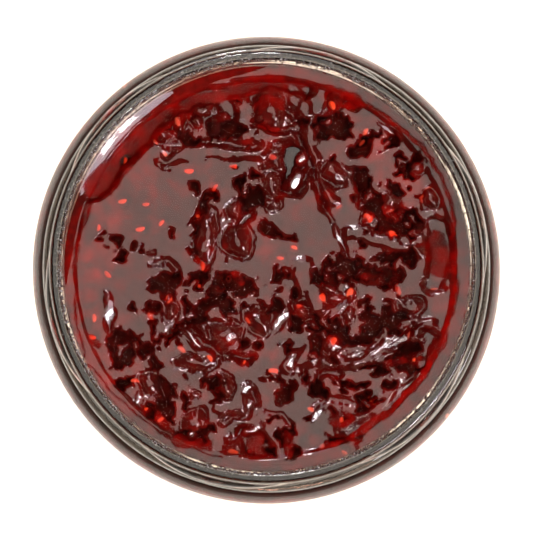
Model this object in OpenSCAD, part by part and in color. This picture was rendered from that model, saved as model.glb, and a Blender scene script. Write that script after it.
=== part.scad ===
// Open wide-mouth glass jar with lugs for a twist-off lid, filled with raspberry jam.
// The jar stands on its foot: Z runs up its axis and the origin is the middle of the foot.

/* [Glass jar] */
// Height from the foot to the rim
jar_h = 90; // [75:1:130]
// Outer diameter of the body
body_d = 86; // [85:1:110]
// Thickness of the side wall
wall = 2.7; // [2:0.1:3.5]
// Radius of the heel, outside
heel_r = 8; // [5:0.5:9]
// Radius of the shoulder, outside
shoulder_r = 5; // [4:0.5:5.5]
// Slope of the shoulder above the horizontal, in degrees
shoulder_slope = 25; // [20:1:35]

/* [Foot] */
// Thickness of the glass in the middle of the base
base_t = 3.8; // [3:0.1:7]
// How far the middle of the base is pushed up
punt_h = 2.2; // [1:0.1:3]
// Width of the flat ring that the jar stands on
foot_w = 5; // [3:0.5:8]
// Radius where the cavity floor turns into the wall
floor_r = 6; // [4:0.5:8]

/* [Neck] */
// Outer diameter of the neck wall
neck_d = 77.4; // [60:0.2:78]
// Thickness of the neck wall
neck_wall = 2.1; // [1.9:0.1:2.6]
// Height of the neck, from the shoulder to the rim
neck_h = 14; // [14:0.5:20]
// Radius on each edge of the rim
lip_r = 0.9; // [0.5:0.1:0.9]
// How far the ring below the lugs stands out of the neck wall
bead_out = 1.8; // [1.2:0.1:2]
// Height of that ring
bead_h = 3; // [2.4:0.1:3]
// Distance from the rim down to the top of that ring
bead_drop = 9.5; // [9:0.1:9.8]

/* [Lugs] */
// Number of lugs
lugs = 6; // [4:1:8]
// How far a lug stands out of the neck wall
lug_out = 1.3; // [0.8:0.1:1.5]
// Radius of a lug's round section
lug_r = 1.6; // [1.2:0.1:2]
// Radius of the arc that a lug follows, which sets how long it is
lug_bend = 26; // [22:1:28]
// Distance from the rim down to the middle of a lug
lug_drop = 4.6; // [4:0.1:5.4]
// Pitch angle of a lug, in degrees
lug_pitch = 2.6; // [0:0.2:4]
// Turn of the first lug about the axis, in degrees
lug_turn = 15; // [0:1:60]

/* [Jam] */
// Distance from the rim down to the general level of the jam
headspace = 9; // [8.5:0.5:13]
// How far the jam climbs at the glass
climb = 1.2; // [0.5:0.1:1.5]
// Width of the level shelf of jam at the glass
shelf_w = 1.5; // [1:0.1:3]
// Width of the slope from the shelf down to the general level
slope_w = 3; // [2:0.5:5]
// Scale of the lumps and hollows in the surface
lump_scale = 1; // [0:0.1:1]

/* [Hidden] */
$fn = 120;

arc_steps = 6;         // points in a rounded corner of an outline
jam_sides = 90;        // sides of the jam's outline
jam_rings = 20;        // rings of points across its surface
ripple_h = 0.2;        // low ripple between the lumps
ripple_turn = 26;      // degrees of ripple to a millimetre
ripple_bend = 40;      // degrees that the ripple wanders

body_r = body_d / 2;
inner_r = body_r - wall;
neck_r = neck_d / 2;
mouth_r = neck_r - neck_wall;
floor_z = punt_h + base_t;
foot_r = body_r - heel_r;
root_r = 1.5;          // fillet between the shoulder and the neck, outside
inner_root_r = 3;      // the same corner inside, where the glass is convex
foot_edge_r = 1;       // edge between the foot and the pushed-up middle
punt_slope_w = 6;      // width of the slope up to the flat middle of the base
punt_r = 12;           // radius at the top of that slope
bead_edge_r = 1;       // edges of the ring below the lugs
lug_sweep = 120;       // more of its arc than a lug shows outside the wall
neck_z = jar_h - neck_h;
bead_z = jar_h - bead_drop;
level = jar_h - headspace;

// the line of the shoulder drops this far from the neck wall out to the body
shoulder_drop = (body_r - neck_r) * tan(shoulder_slope);
// inside, it lies a wall's thickness below, so it meets the two walls at these heights
shoulder_line = wall / cos(shoulder_slope);
inner_neck_z = neck_z + (neck_r - mouth_r) * tan(shoulder_slope) - shoulder_line;
inner_shoulder_z = neck_z - (inner_r - neck_r) * tan(shoulder_slope) - shoulder_line;

// Lumps and hollows in the jam: [x, y, length, width, turn, height], hollows below zero
lumps = [
    [-25.5, -3, 34, 15, 85, 1],
    [-18.5, 24.5, 6, 6, 0, 1.3],
    [-10.5, 26.5, 9, 7, 20, 1.4],
    [-6.5, 21.6, 22, 4, 3, 1.3],
    [-13, 17, 6, 6, 0, 1],
    [-5.3, 4.8, 6, 6, 0, 1.5],
    [-10.5, 5, 8, 4, 90, 1.4],
    [1, 29, 8, 6.5, 90, 1.5],
    [14, 13, 10, 6, 80, 1.2],
    [7.5, 6.5, 11, 9, 0, 1.1],
    [19, 27, 8, 5, 0, 1],
    [27.5, 17, 8, 6, 120, 1.1],
    [7.5, -4, 9, 6, 90, 1.1],
    [19, -4, 8, 5, 10, 1],
    [-15, -17, 12, 7, 0, 1],
    [-7.5, -12, 6, 6, 0, 1.4],
    [-7, -24, 8, 6, 40, 1.3],
    [6, -19, 9, 7, 0, 1],
    [7, -28, 10, 8, 0, 1],
    [23, -14, 17, 4, 30, 1.2],
    [5.5, 17.5, 11, 5, 80, -2.4],
    [-3, 14.5, 7, 5, 60, -1.8],
    [9.3, -22, 5, 4, 0, -2.2],
    [-27.5, 4, 6, 4, 90, -1.2],
    [-26.5, -16, 10, 5, 90, -1.4],
    [-22, -7, 6, 5, 0, -1.3],
    [-18.5, -23, 6, 5, 0, -1.2],
    [-8, -5, 6, 6, 0, -1.2],
    [15, 24, 14, 5, -15, -1.5],
    [23, 8, 9, 8, 0, -1.4],
    [15, 1, 8, 4.5, 0, -1.4],
    [20, -9, 9, 7, 0, -1.4],
    [20, -18, 14, 4, 30, -1.5],
    [1.5, -31, 6, 4, 0, -1.1],
];

function unit(v) = v / norm(v);

// Points that round the corner at p, between a and b, to the radius r
function corner(a, p, b, r) =
    r == 0 ? [p] :
    let (u = unit(a - p), v = unit(b - p), half = acos(u * v) / 2)
    let (centre = p + unit(u + v) * r / sin(half), first = p + u * r / tan(half) - centre)
    let (turn = (180 - 2 * half) * sign(cross(p - a, b - p)), from = atan2(first[1], first[0]))
    [for (i = [0:arc_steps]) centre + r * [cos(from + turn * i / arc_steps), sin(from + turn * i / arc_steps)]];

// An outline from its corners [r, z, radius], whose first and last are ends
function outline(c) =
    let (p = [for (q = c) [q[0], q[1]]], last = len(c) - 1)
    [for (i = [0:last]) each (i == 0 || i == last ? [p[i]] : corner(p[i - 1], p[i], p[i + 1], c[i][2]))];

// The cavity, from the middle of its floor up the wall to the height z
function cavity(z) = outline([
    [0, floor_z],
    [inner_r, floor_z, floor_r],
    [inner_r, inner_shoulder_z, shoulder_r - wall],
    [mouth_r, inner_neck_z, inner_root_r],
    [mouth_r, z]]);

// The outside, from the middle of the base round to the inner edge of the rim
function outside() = outline([
    [0, punt_h],
    [foot_r - foot_w - punt_slope_w, punt_h, punt_r],
    [foot_r - foot_w, 0, foot_edge_r],
    [body_r, 0, heel_r],
    [body_r, neck_z - shoulder_drop, shoulder_r],
    [neck_r, neck_z, root_r],
    [neck_r, bead_z - bead_h, 0],
    [neck_r + bead_out, bead_z - bead_h, bead_edge_r],
    [neck_r + bead_out, bead_z, bead_edge_r],
    [neck_r, bead_z, 0],
    [neck_r, jar_h, lip_r],
    [mouth_r, jar_h, lip_r],
    [mouth_r, jar_h - 2 * lip_r]]);

// A lug follows an arc sharper than the neck's, so its ends run into the wall
module lug() {
    centre_r = neck_r + lug_out - lug_r;
    difference() {
        rotate([lug_pitch, 0, 0])
            translate([centre_r - lug_bend, 0, 0])
            rotate([0, 0, -lug_sweep / 2])
            rotate_extrude(angle = lug_sweep)
            translate([lug_bend, 0])
            circle(r = lug_r);
        cylinder(r = neck_r - neck_wall / 2, h = neck_h, center = true);
    }
}

module jar() {
    inside = cavity(jar_h - 3 * lip_r);
    color([0.85, 0.87, 0.86, 0.4])
        union() {
            rotate_extrude()
                polygon(concat(outside(), [for (i = [len(inside) - 1:-1:0]) inside[i]]));
            for (k = [0:lugs - 1])
                rotate([0, 0, lug_turn + k * 360 / lugs])
                translate([0, 0, jar_h - lug_drop])
                lug();
        }
}

// A lump's height at the point, flat on top and smooth at its foot
function lump(x, y, f) =
    let (dx = x - f[0], dy = y - f[1])
    let (u = (dx * cos(f[4]) + dy * sin(f[4])) * 2 / f[2], v = (dy * cos(f[4]) - dx * sin(f[4])) * 2 / f[3])
    f[5] * exp(-pow(u * u + v * v, 2));

function sum(list, i = 0) = i == len(list) ? 0 : list[i] + sum(list, i + 1);

function smooth(t) = let (c = min(1, max(0, t))) c * c * (3 - 2 * c);

// Height of the jam's surface: lumps in the middle, and a climb to a level shelf at the glass
function surface_z(x, y) =
    let (r = norm([x, y]), edge = smooth((r - mouth_r + shelf_w + slope_w) / slope_w))
    let (ripple = ripple_h * sin(ripple_turn * x + ripple_bend * sin(ripple_turn * y)) * cos(ripple_turn * y))
    level + climb * edge + lump_scale * (1 - edge) * (ripple + sum([for (f = lumps) lump(x, y, f)]));

module jam() {
    wall_line = cavity(level + climb);
    side = [for (i = [1:len(wall_line) - 1]) wall_line[i]];
    sides = len(side);
    rings = sides + jam_rings - 1;
    angles = [for (k = [0:jam_sides - 1]) k * 360 / jam_sides];
    side_points = [for (p = side, a = angles) [p[0] * cos(a), p[0] * sin(a), p[1]]];
    top_points = [for (j = [1:jam_rings - 1], a = angles)
        let (r = mouth_r * (1 - j / jam_rings), x = r * cos(a), y = r * sin(a)) [x, y, surface_z(x, y)]];
    points = concat(side_points, top_points, [[0, 0, surface_z(0, 0)]]);
    function at(ring, k) = ring * jam_sides + k % jam_sides;
    floor_face = [[for (k = [0:jam_sides - 1]) k]];
    bands = [for (j = [0:rings - 2], k = [0:jam_sides - 1])
        each [[at(j, k), at(j + 1, k), at(j + 1, k + 1)], [at(j, k), at(j + 1, k + 1), at(j, k + 1)]]];
    middle = [for (k = [0:jam_sides - 1]) [at(rings - 1, k), len(points) - 1, at(rings - 1, k + 1)]];
    color([0.42, 0.03, 0.05])
        polyhedron(points = points, faces = concat(floor_face, bands, middle));
}

jar();
jam();
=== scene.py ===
# %% [markdown]
# # An open jar of raspberry jam
# The jar is clear glass with a wide mouth. The jam inside is three things at once: dark pulp, a layer of
# clear red gel over it, and seeds held in the gel. Each is a piece of its own here, because light has to
# pass through the gel, pick up its colour and come back from what lies below. The construction model is
# loaded first, and gives the outer size and the cavity. Finer measures are listed where they are used.

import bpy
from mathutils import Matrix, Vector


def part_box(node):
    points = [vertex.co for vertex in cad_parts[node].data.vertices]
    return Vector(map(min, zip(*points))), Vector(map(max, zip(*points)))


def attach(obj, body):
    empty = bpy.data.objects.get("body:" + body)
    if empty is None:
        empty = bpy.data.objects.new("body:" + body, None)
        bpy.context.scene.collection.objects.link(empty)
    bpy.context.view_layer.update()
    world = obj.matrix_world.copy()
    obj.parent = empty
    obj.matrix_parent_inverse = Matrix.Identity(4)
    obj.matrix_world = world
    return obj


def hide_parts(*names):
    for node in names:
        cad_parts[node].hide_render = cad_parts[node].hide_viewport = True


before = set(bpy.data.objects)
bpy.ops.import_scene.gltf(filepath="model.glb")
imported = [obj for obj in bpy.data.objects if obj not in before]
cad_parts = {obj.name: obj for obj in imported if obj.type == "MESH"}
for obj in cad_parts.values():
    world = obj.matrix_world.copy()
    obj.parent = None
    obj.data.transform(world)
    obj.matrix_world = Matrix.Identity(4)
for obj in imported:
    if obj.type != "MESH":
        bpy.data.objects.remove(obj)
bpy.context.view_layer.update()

# %% Tools and measures
import math

import bpy
import numpy as np
from mathutils import Vector

MM = 0.001
jar_low, jar_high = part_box("jar")
jam_low, jam_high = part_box("jam")
BODY_R = (jar_high.x - jar_low.x) / 2 / MM
JAR_H = jar_high.z / MM
INNER_R = (jam_high.x - jam_low.x) / 2 / MM
FLOOR_Z = jam_low.z / MM
print("jar radius", round(BODY_R, 1), "height", round(JAR_H, 1), "cavity radius", round(INNER_R, 1))

# %% [markdown]
# Every tool in Blender acts on what is selected, so a piece starts by clearing the selection. One helper
# does that, and another merges doubles, turns the faces outward and shades the finished mesh smooth. Two
# more read and write the vertices in millimetres, because a relief is easiest to work out on arrays.

# %% Selecting and shading
def only(piece):
    """Selects one piece and makes it the active one."""
    bpy.ops.object.select_all(action="DESELECT")
    piece.select_set(True)
    bpy.context.view_layer.objects.active = piece


def finish_piece(piece, name, angle=40):
    """Names a piece, shades it smooth and turns its faces outward."""
    only(piece)
    piece.name = piece.data.name = name
    bpy.ops.object.mode_set(mode="EDIT")
    bpy.ops.mesh.select_all(action="SELECT")
    bpy.ops.mesh.remove_doubles(threshold=0.001 * MM)
    bpy.ops.mesh.normals_make_consistent(inside=False)
    bpy.ops.object.mode_set(mode="OBJECT")
    bpy.ops.object.shade_smooth_by_angle(angle=math.radians(angle))
    print(name, len(piece.data.polygons), "faces")
    return piece


def get_points(piece):
    """The piece's vertices as an array, in millimetres."""
    points = np.empty(len(piece.data.vertices) * 3)
    piece.data.vertices.foreach_get("co", points)
    return points.reshape(-1, 3) / MM


def set_points(piece, points):
    """Moves the piece's vertices to these places, in millimetres."""
    piece.data.vertices.foreach_set("co", (points * MM).ravel())
    piece.data.update()


# %% [markdown]
# ## The glass
# A jar is blown and pressed in a mould, so it is a solid of revolution: one outline spun about the axis.
# The outline is a chain of corners, each with its own radius. It goes up the outside and down the inside,
# because glass shows both faces of its wall.

# %% The outline of the wall
SLOPE_ANGLE = math.radians(25)
WALL, HEEL_R, SHOULDER_R, SLOPE = 2.7, 8, 5, math.tan(SLOPE_ANGLE)
NECK_R, MOUTH_R, NECK_Z = 38.7, 36.6, JAR_H - 14
BEAD_Z, BEAD_H, BEAD_R, LIP_R = JAR_H - 9.5, 3, 40.5, 0.9
FOOT_R, PUNT_H = BODY_R - HEEL_R, 2.2
RING_R, PUNT_R = FOOT_R - 5, FOOT_R - 11
SLANT = WALL / math.cos(SLOPE_ANGLE)
SHOULDER_Z = NECK_Z - (BODY_R - NECK_R) * SLOPE
INNER_NECK_Z = NECK_Z + (NECK_R - MOUTH_R) * SLOPE - SLANT
INNER_SHOULDER_Z = NECK_Z - (INNER_R - NECK_R) * SLOPE - SLANT
outside = [
    (0, PUNT_H, 0), (PUNT_R, PUNT_H, 12), (RING_R, 0, 1), (BODY_R, 0, HEEL_R),
    (BODY_R, SHOULDER_Z, SHOULDER_R), (NECK_R, NECK_Z, 1.5), (NECK_R, BEAD_Z - BEAD_H, 0),
    (BEAD_R, BEAD_Z - BEAD_H, 1.3), (BEAD_R, BEAD_Z, 1.3), (NECK_R, BEAD_Z, 0), (NECK_R, JAR_H, LIP_R),
]
inside = [
    (MOUTH_R, JAR_H, LIP_R), (MOUTH_R, INNER_NECK_Z, 3), (INNER_R, INNER_SHOULDER_Z, SHOULDER_R - WALL),
    (INNER_R, FLOOR_Z, 6), (0, FLOOR_Z, 0),
]
print("outline with", len(outside + inside), "corners, shoulder at", round(SHOULDER_Z, 1), "mm")

# %% [markdown]
# Two helpers turn such a chain into a wire: one works out the points of each rounded corner, and the other
# draws the chain by extruding a single vertex from point to point.

# %% Rounding and drawing an outline
def rounded(corners, steps):
    """The outline's points, each corner replaced by an arc of its own radius."""
    points = [np.array(corners[0][:2], float)]
    for before, here, after in zip(corners, corners[1:], corners[2:]):
        p, r = np.array(here[:2], float), here[2]
        u, v = np.array(before[:2]) - p, np.array(after[:2]) - p
        u, v = u / np.linalg.norm(u), v / np.linalg.norm(v)
        if r == 0:
            points.append(p)
            continue
        half = math.acos(float(u @ v)) / 2
        centre = p + (u + v) / np.linalg.norm(u + v) * r / math.sin(half)
        first = p + u * r / math.tan(half) - centre
        turn = (math.pi - 2 * half) * (1 if u[0] * v[1] - u[1] * v[0] < 0 else -1)
        for k in range(steps + 1):
            a = math.atan2(first[1], first[0]) + turn * k / steps
            points.append(centre + r * np.array([math.cos(a), math.sin(a)]))
    return points + [np.array(corners[-1][:2], float)]


def wire(points):
    """A chain of vertices in the XZ plane, drawn by extruding one vertex from point to point."""
    bpy.ops.object.select_all(action="DESELECT")
    bpy.ops.mesh.primitive_plane_add(size=MM)
    piece = bpy.context.object
    bpy.ops.object.mode_set(mode="EDIT")
    bpy.ops.mesh.merge(type="CENTER")
    bpy.ops.transform.translate(value=(points[0][0] * MM, 0, points[0][1] * MM))
    for a, b in zip(points, points[1:]):
        step = ((b[0] - a[0]) * MM, 0, (b[1] - a[1]) * MM)
        bpy.ops.mesh.extrude_region_move(TRANSFORM_OT_translate={"value": step})
    bpy.ops.object.mode_set(mode="OBJECT")
    return piece


# %% [markdown]
# The spin tool turns the wire into a wall. The neck's outer side gets extra rings first, so that the lugs
# can be raised on it afterwards.

# %% Spinning the wall
AROUND, CORNER_STEPS, RING_SPACING = 384, 8, 0.25


def with_rings(points, low, spacing):
    """The same outline with the neck's straight stretch above low cut into short steps."""
    out = [points[0]]
    for a, b in zip(points, points[1:]):
        steps = 1
        if abs(a[0] - NECK_R) < 0.01 and abs(b[0] - NECK_R) < 0.01 and min(a[1], b[1]) > low - 0.01:
            steps = max(1, round(abs(b[1] - a[1]) / spacing))
        out += [a + (b - a) * k / steps for k in range(1, steps + 1)]
    return out


outline = with_rings(rounded(outside + inside, CORNER_STEPS), BEAD_Z, RING_SPACING)
glass = wire(outline)
bpy.ops.object.mode_set(mode="EDIT")
bpy.ops.mesh.select_all(action="SELECT")
bpy.ops.mesh.spin(steps=AROUND, angle=2 * math.pi, center=(0, 0, 0), axis=(0, 0, 1))
bpy.ops.object.mode_set(mode="OBJECT")
finish_piece(glass, "glass_jar", 60)

# %% [markdown]
# The lid of such a jar is held by short slanting lugs. Each lug is the part of a round bar, bent more
# sharply than the neck, that stands out of the wall, so its ends fade into the glass. The wall's rings are
# pushed out to that shape, which keeps the glass one closed skin where added bars would cut into it. The
# mould also leaves a fine seam on two sides, and blown glass is never perfectly even.

# %% Lugs, seams and waves
LUGS, LUG_R, LUG_BEND, LUG_OUT, LUG_TURN, LUG_PITCH = 6, 1.6, 26, 1.3, 15, 2.6
LUG_Z = JAR_H - 4.6
SEAM_ANGLE, SEAM_W, SEAM_H = 0.6, 0.25, 0.06


def lug_rise(angle, z):
    """How far the lugs stand out of the neck wall at this angle and height."""
    turn = (angle - math.radians(LUG_TURN)) % (2 * math.pi / LUGS)
    turn = np.where(turn > math.pi / LUGS, turn - 2 * math.pi / LUGS, turn)
    offset = NECK_R + LUG_OUT - LUG_R - LUG_BEND
    middle = offset * np.cos(turn) + np.sqrt(LUG_BEND**2 - (offset * np.sin(turn)) ** 2)
    centre_z = LUG_Z + middle * np.sin(turn) * math.sin(math.radians(LUG_PITCH))
    across = np.clip(np.abs(z - centre_z) / LUG_R, 0, 1)
    out = middle + LUG_R * np.sqrt(1 - across**2) - NECK_R
    return np.where((across < 1) & (out > 0), out, 0)


def smooth(t):
    """Goes from 0 to 1 without a corner as t does."""
    t = np.clip(t, 0, 1)
    return t * t * (3 - 2 * t)


points = get_points(glass)
r = np.hypot(points[:, 0], points[:, 1])
angle = np.arctan2(points[:, 1], points[:, 0])
z = points[:, 2]
on_neck = (np.abs(r - NECK_R) < 0.02) & (z > BEAD_Z)
push = np.where(on_neck, lug_rise(angle, z), 0)
on_side = (z > 4) & (r > INNER_R + 1.5)
from_seam = np.abs(np.sin(angle - SEAM_ANGLE)) * r / SEAM_W
seam = np.exp(-(from_seam**2)) * (z < BEAD_Z) * on_side
push = push - SEAM_H * (1 - seam) * (z < BEAD_Z - 4) * on_side
wave = 0.05 * np.sin(3 * angle + 0.05 * z) + 0.04 * np.sin(7 * angle - 0.11 * z + 1)
push = push + np.where(r > 30, np.minimum(wave, 0) * 0.5, 0)
scale = (r + push) / np.maximum(r, 1e-6)
points[:, 0] *= scale
points[:, 1] *= scale
set_points(glass, points)
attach(glass, "root")
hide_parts("jar")
print("lugs stand out", round(float(push.max()), 2), "mm")

# %% [markdown]
# ## The surface of the jam
# Spooned jam sets with a skin of clear gel that lies nearly level, and where the spoon tore it the dark
# fruit shows. The level gel mirrors the lamp above and the torn places don't. That contrast is most of the
# look. It could be sculpted, but a map of heights can be read and changed: it starts level, and strokes and
# lumps are laid on it. What is too small to place by hand comes from noise.

# %% Smooth noise
def noise(x, y, size, seed):
    """Smooth noise from about -1 to 1, whose lumps are about size across."""
    turns = np.random.default_rng(seed).uniform(0, 2 * math.pi, (128, 128))
    u, v = x / size + 64.5, y / size + 64.5
    i, j = np.floor(u).astype(int), np.floor(v).astype(int)
    f, g = u - i, v - j

    def corner(a, b):
        turn = turns[(i + a) % 128, (j + b) % 128]
        return np.cos(turn) * (f - a) + np.sin(turn) * (g - b)

    s, t = f * f * f * (f * (f * 6 - 15) + 10), g * g * g * (g * (g * 6 - 15) + 10)
    low = corner(0, 0) * (1 - s) + corner(1, 0) * s
    high = corner(0, 1) * (1 - s) + corner(1, 1) * s
    return 1.5 * (low * (1 - t) + high * t)


sample = noise(np.linspace(-40, 40, 400), np.zeros(400), 4, 1)
print("noise runs from", sample.min().round(2), "to", sample.max().round(2))

# %% [markdown]
# Strokes are (width, depth or height, points along the stroke), in millimetres from the axis. The first
# list holds the places where the skin is torn and ragged.

# %% Where it is torn
TORN = [
    (3.5, 1.2, [(-15.2, 24.8), (-13.6, 24)]), (4, 1.4, [(-8.4, 24.4), (-4.4, 24.2)]),
    (4.4, 1.8, [(-3.4, 15.5), (-2.4, 12.8)]),
    (1.6, 1.3, [(-9.6, 13.2), (-11.6, 11), (-13.2, 6), (-13.4, 3), (-12.2, 1)]),
    (2.2, 1.2, [(-29, 5.6), (-27.4, 4), (-26.8, 2.2)]), (5.2, 1.5, [(11, 25.4), (13.6, 24.8)]),
    (3.2, 1.5, [(16.6, 21.2), (19.5, 22.6), (22, 23.2)]),
    (4.4, 1.4, [(17.6, 16), (18.6, 12.4), (21.2, 9.6)]), (5, 1.5, [(22.6, 9), (26, 7.6)]),
    (3, 1.4, [(27, 19), (24.6, 16.4), (23.4, 14.6)]), (5, 1.4, [(13.4, 0.8), (15.2, 0)]),
    (3, 1.3, [(20.6, 1.4), (25.4, 1.8)]), (2.4, 1, [(0.6, 7), (1.6, 6.6)]),
    (4, 1.3, [(-19, -2.6), (-17.6, -3.6)]), (1.5, 1.3, [(-16.4, -1), (-15.4, -4.2), (-14.2, -7.4)]),
    (2.6, 1.2, [(-23.6, -6.6), (-21.2, -7), (-19.8, -8.2)]), (1, 1, [(-20.8, -10), (-20.5, -12.4)]),
    (2.6, 1.3, [(-16.4, -10.8), (-18.2, -12.2), (-19.4, -13.4)]),
    (4.2, 1.4, [(-26.8, -13.4), (-26.2, -16), (-25.6, -20)]),
    (1.8, 1.2, [(-24.4, -12.4), (-22.4, -15), (-20, -17.4), (-19.2, -20)]),
    (3, 1.3, [(-18.4, -21), (-17.8, -24), (-18.2, -27)]),
    (2.6, 1.2, [(-22, -24.5), (-20.5, -27.5), (-16.5, -29.4)]),
    (2, 1.2, [(-16, -18.8), (-13, -19.6), (-10.4, -20.4), (-8.8, -22)]),
    (4.6, 1.4, [(-11.6, -2.4), (-8, -3.4), (-5, -4.6)]), (3.6, 1.4, [(-13, -8.4), (-9.4, -7), (-5.4, -7)]),
    (1.4, 1, [(-14.2, -23.4), (-13.8, -26)]), (3, 1.2, [(-14, -30.4), (-10.6, -29.4)]),
    (2.6, 1.2, [(-3.4, -2.4), (-3, -6)]), (2.4, 1.2, [(2.2, -1.2), (2.4, -1.6)]),
    (2.4, 1.3, [(5, -4), (2.6, -5.6), (1, -8)]), (2.2, 1.2, [(9.6, -1.6), (12.8, -2.4)]),
    (3, 1.3, [(15, -1.2), (18, -0.8), (21.4, -1.8)]), (5.6, 1.3, [(18.6, -8.4), (22.4, -9), (24, -11)]),
    (3.4, 1.3, [(17.4, -12), (21, -12.4)]), (3, 1.3, [(8, -9.8), (11, -10.4), (14, -11.6), (15.6, -13.6)]),
    (2, 1.2, [(5.2, -9), (5.4, -11.6), (4.2, -14.4)]), (1.4, 1, [(9.2, -12.6), (8.6, -15)]),
    (2.4, 1.6, [(13, -19.6), (16.4, -20.2), (19, -18.6), (22.6, -17.4), (24.6, -15.6), (26.6, -14)]),
    (3.4, 1.2, [(24.8, -17.2), (26.8, -18.2)]), (1.8, 2.4, [(9, -21.2), (9.6, -22.4)]),
    (1.5, 1.1, [(1.4, -19.6), (4, -20.6), (5.6, -19.2), (4.4, -22), (2.4, -23.4)]),
    (1.6, 1.1, [(16.6, -23.4), (17.6, -23.8)]), (1.8, 1.1, [(19, -22.4), (20.4, -22.8), (17.4, -25.6)]),
    (2, 1.1, [(13, -26.4), (14, -28.6)]), (0.9, 0.8, [(11, -25.6), (13, -25.2)]),
    (3.4, 1.2, [(0.8, -30), (1, -32), (4.2, -33)]), (2, 1.1, [(4, -29.6), (4.4, -32)]),
    (1.5, 1, [(10.6, -31), (13, -31.2), (17, -30.8)]), (1.1, 0.9, [(21.6, -21), (24, -19.8)]),
    (1.6, 1, [(-5.4, -13.8), (-4.2, -12.8)]), (1.3, 1, [(-1.6, -13.6), (-1.4, -14)]),
    (1.6, 1.1, [(-9, -20), (-8.2, -23.4)]), (0.8, 0.8, [(-18.3, 18), (-17.4, 18)]),
    (1, 0.8, [(-24.2, 4.2), (-24, 3.4)]), (1.2, 0.9, [(3.6, 5.6), (5.8, 5.2)]),
    (1.1, 0.9, [(11.6, -16.4), (12, -17)]), (1.2, 0.8, [(17, 4.2), (17.4, 4)]),
    (1.4, 0.9, [(-14, 14.6), (-12.6, 14)]), (1.5, 1, [(-17.2, 27), (-16, 28)]),
    (1.2, 1, [(6.8, 26.8), (5.6, 26.6)]),
]
print(len(TORN), "torn strokes")

# %% [markdown]
# Then come the smooth valleys and creases, which stay glossy, and the ridges.

# %% Valleys and ridges
VALLEYS = [
    (4.6, 1.5, [(-31, 14.6), (-27.4, 19), (-24.4, 22.4)]),
    (4.4, 1.4, [(-24.4, 22.4), (-20.6, 27), (-15.4, 30.2)]),
    (3.6, 1.3, [(-15.4, 30.2), (-8, 31.4), (-3, 33.4), (3, 33.8), (7, 32.4)]),
    (3, 1.2, [(-7.6, 30), (-7, 27.4)]), (1.3, 1.2, [(-2.6, 31), (0, 31.8), (2.4, 30.6)]),
    (1.6, 1.4, [(2.6, 30), (4.8, 28), (5.6, 25.2), (0.4, 25.4), (-1.6, 26.8)]),
    (1.1, 1.1, [(1.4, 22), (4, 22.2)]),
    (1.2, 1.8, [(5.6, 25), (7, 21.6), (7.8, 18), (9.4, 14.8), (10.4, 12.4), (10.6, 10.6)]),
    (4.6, 2.4, [(5.2, 20.4), (4.8, 15.2)]), (1.6, 1.2, [(2.6, 16), (2, 12.6)]),
    (1, 1.1, [(9.6, 18.8), (10, 16.8), (11.4, 15.3), (13.2, 15.2)]),
    (1, 1.1, [(13.8, 17.2), (15.6, 17), (16.8, 14.6), (17.4, 11.6)]),
    (1.3, 1.2, [(-3.6, 12.2), (-3.2, 9.4), (-5, 7.4)]),
    (0.5, 0.5, [(10.4, 10.4), (12.4, 7.4), (14.4, 3.4)]),
    (1.8, 1.4, [(-14.4, -10.4), (-12, -13.6), (-8, -15.4), (-3, -16)]),
    (4.4, 1.2, [(-3.4, -30.6), (-1.4, -32.6)]), (0.9, 1, [(-7, -30.6), (-6.6, -34)]),
    (4.6, 0.9, [(31, 7), (31.4, 2), (30.4, -2)]),
    (1.1, 1, [(4.2, -6.6), (4.8, -9.6), (7.2, -9.6), (8.4, -9)]), (1.4, 1.1, [(26.2, -14.6), (29.4, -12)]),
    (2.2, 1, [(28.6, -15.4), (29.8, -12.6)]), (0.8, 0.8, [(-20.6, 0.8), (-18, 1.2), (-16, -0.6)]),
    (0.6, 0.5, [(9, -24.8), (11.4, -23.4), (14, -24), (16, -24.4)]), (1.4, 1.3, [(10, -18.9), (13, -19)]),
    (0.6, 0.5, [(0.4, -25.8), (3, -26.4), (4, -28)]), (2.6, 1.1, [(12.4, 31.6), (16.4, 30.4)]),
    (1.2, 0.9, [(10.4, 28), (11.8, 30.4)]),
    (1.2, 1.2, [(-18.4, 20.6), (-15.6, 22.4), (-9, 22.7), (-2, 22.4)]),
    (1.6, 1.1, [(-3.6, -21.6), (-2, -24)]), (1, 0.9, [(-8, -27.9), (-4, -26.2), (-2.4, -23.6)]),
]
RIDGES = [
    (3.6, 0.5, [(-18, 19.8), (-13, 21.2), (-2, 21.2)]),
    (2.2, 0.5, [(6.4, 31), (8.2, 24), (8.8, 20), (10, 16), (12, 12)]),
    (2.2, 0.5, [(15, 6.6), (20, 5), (27.4, 3)]),
    (1.3, 0.5, [(-15, -9.6), (-11.6, -11.8), (-8.4, -14.8), (-4, -15)]),
    (2.4, 0.7, [(16.4, -17.4), (19.4, -15), (24, -13.2), (29.4, -10.2)]),
    (4.4, 0.6, [(6, 0), (8, -4), (9.6, -6.4)]), (2.6, 0.5, [(10.6, -17.6), (15.6, -17)]),
    (2.8, 0.6, [(4, -17.8), (8, -15.8)]), (3, 0.5, [(21, -23.4), (26, -20)]),
    (2.4, 0.5, [(13.6, -29), (18.6, -27.4)]), (3, 0.4, [(-8, -25.6), (-5, -23.6), (-4, -21.6)]),
]
print(len(VALLEYS), "valleys and", len(RIDGES), "ridges")
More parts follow.
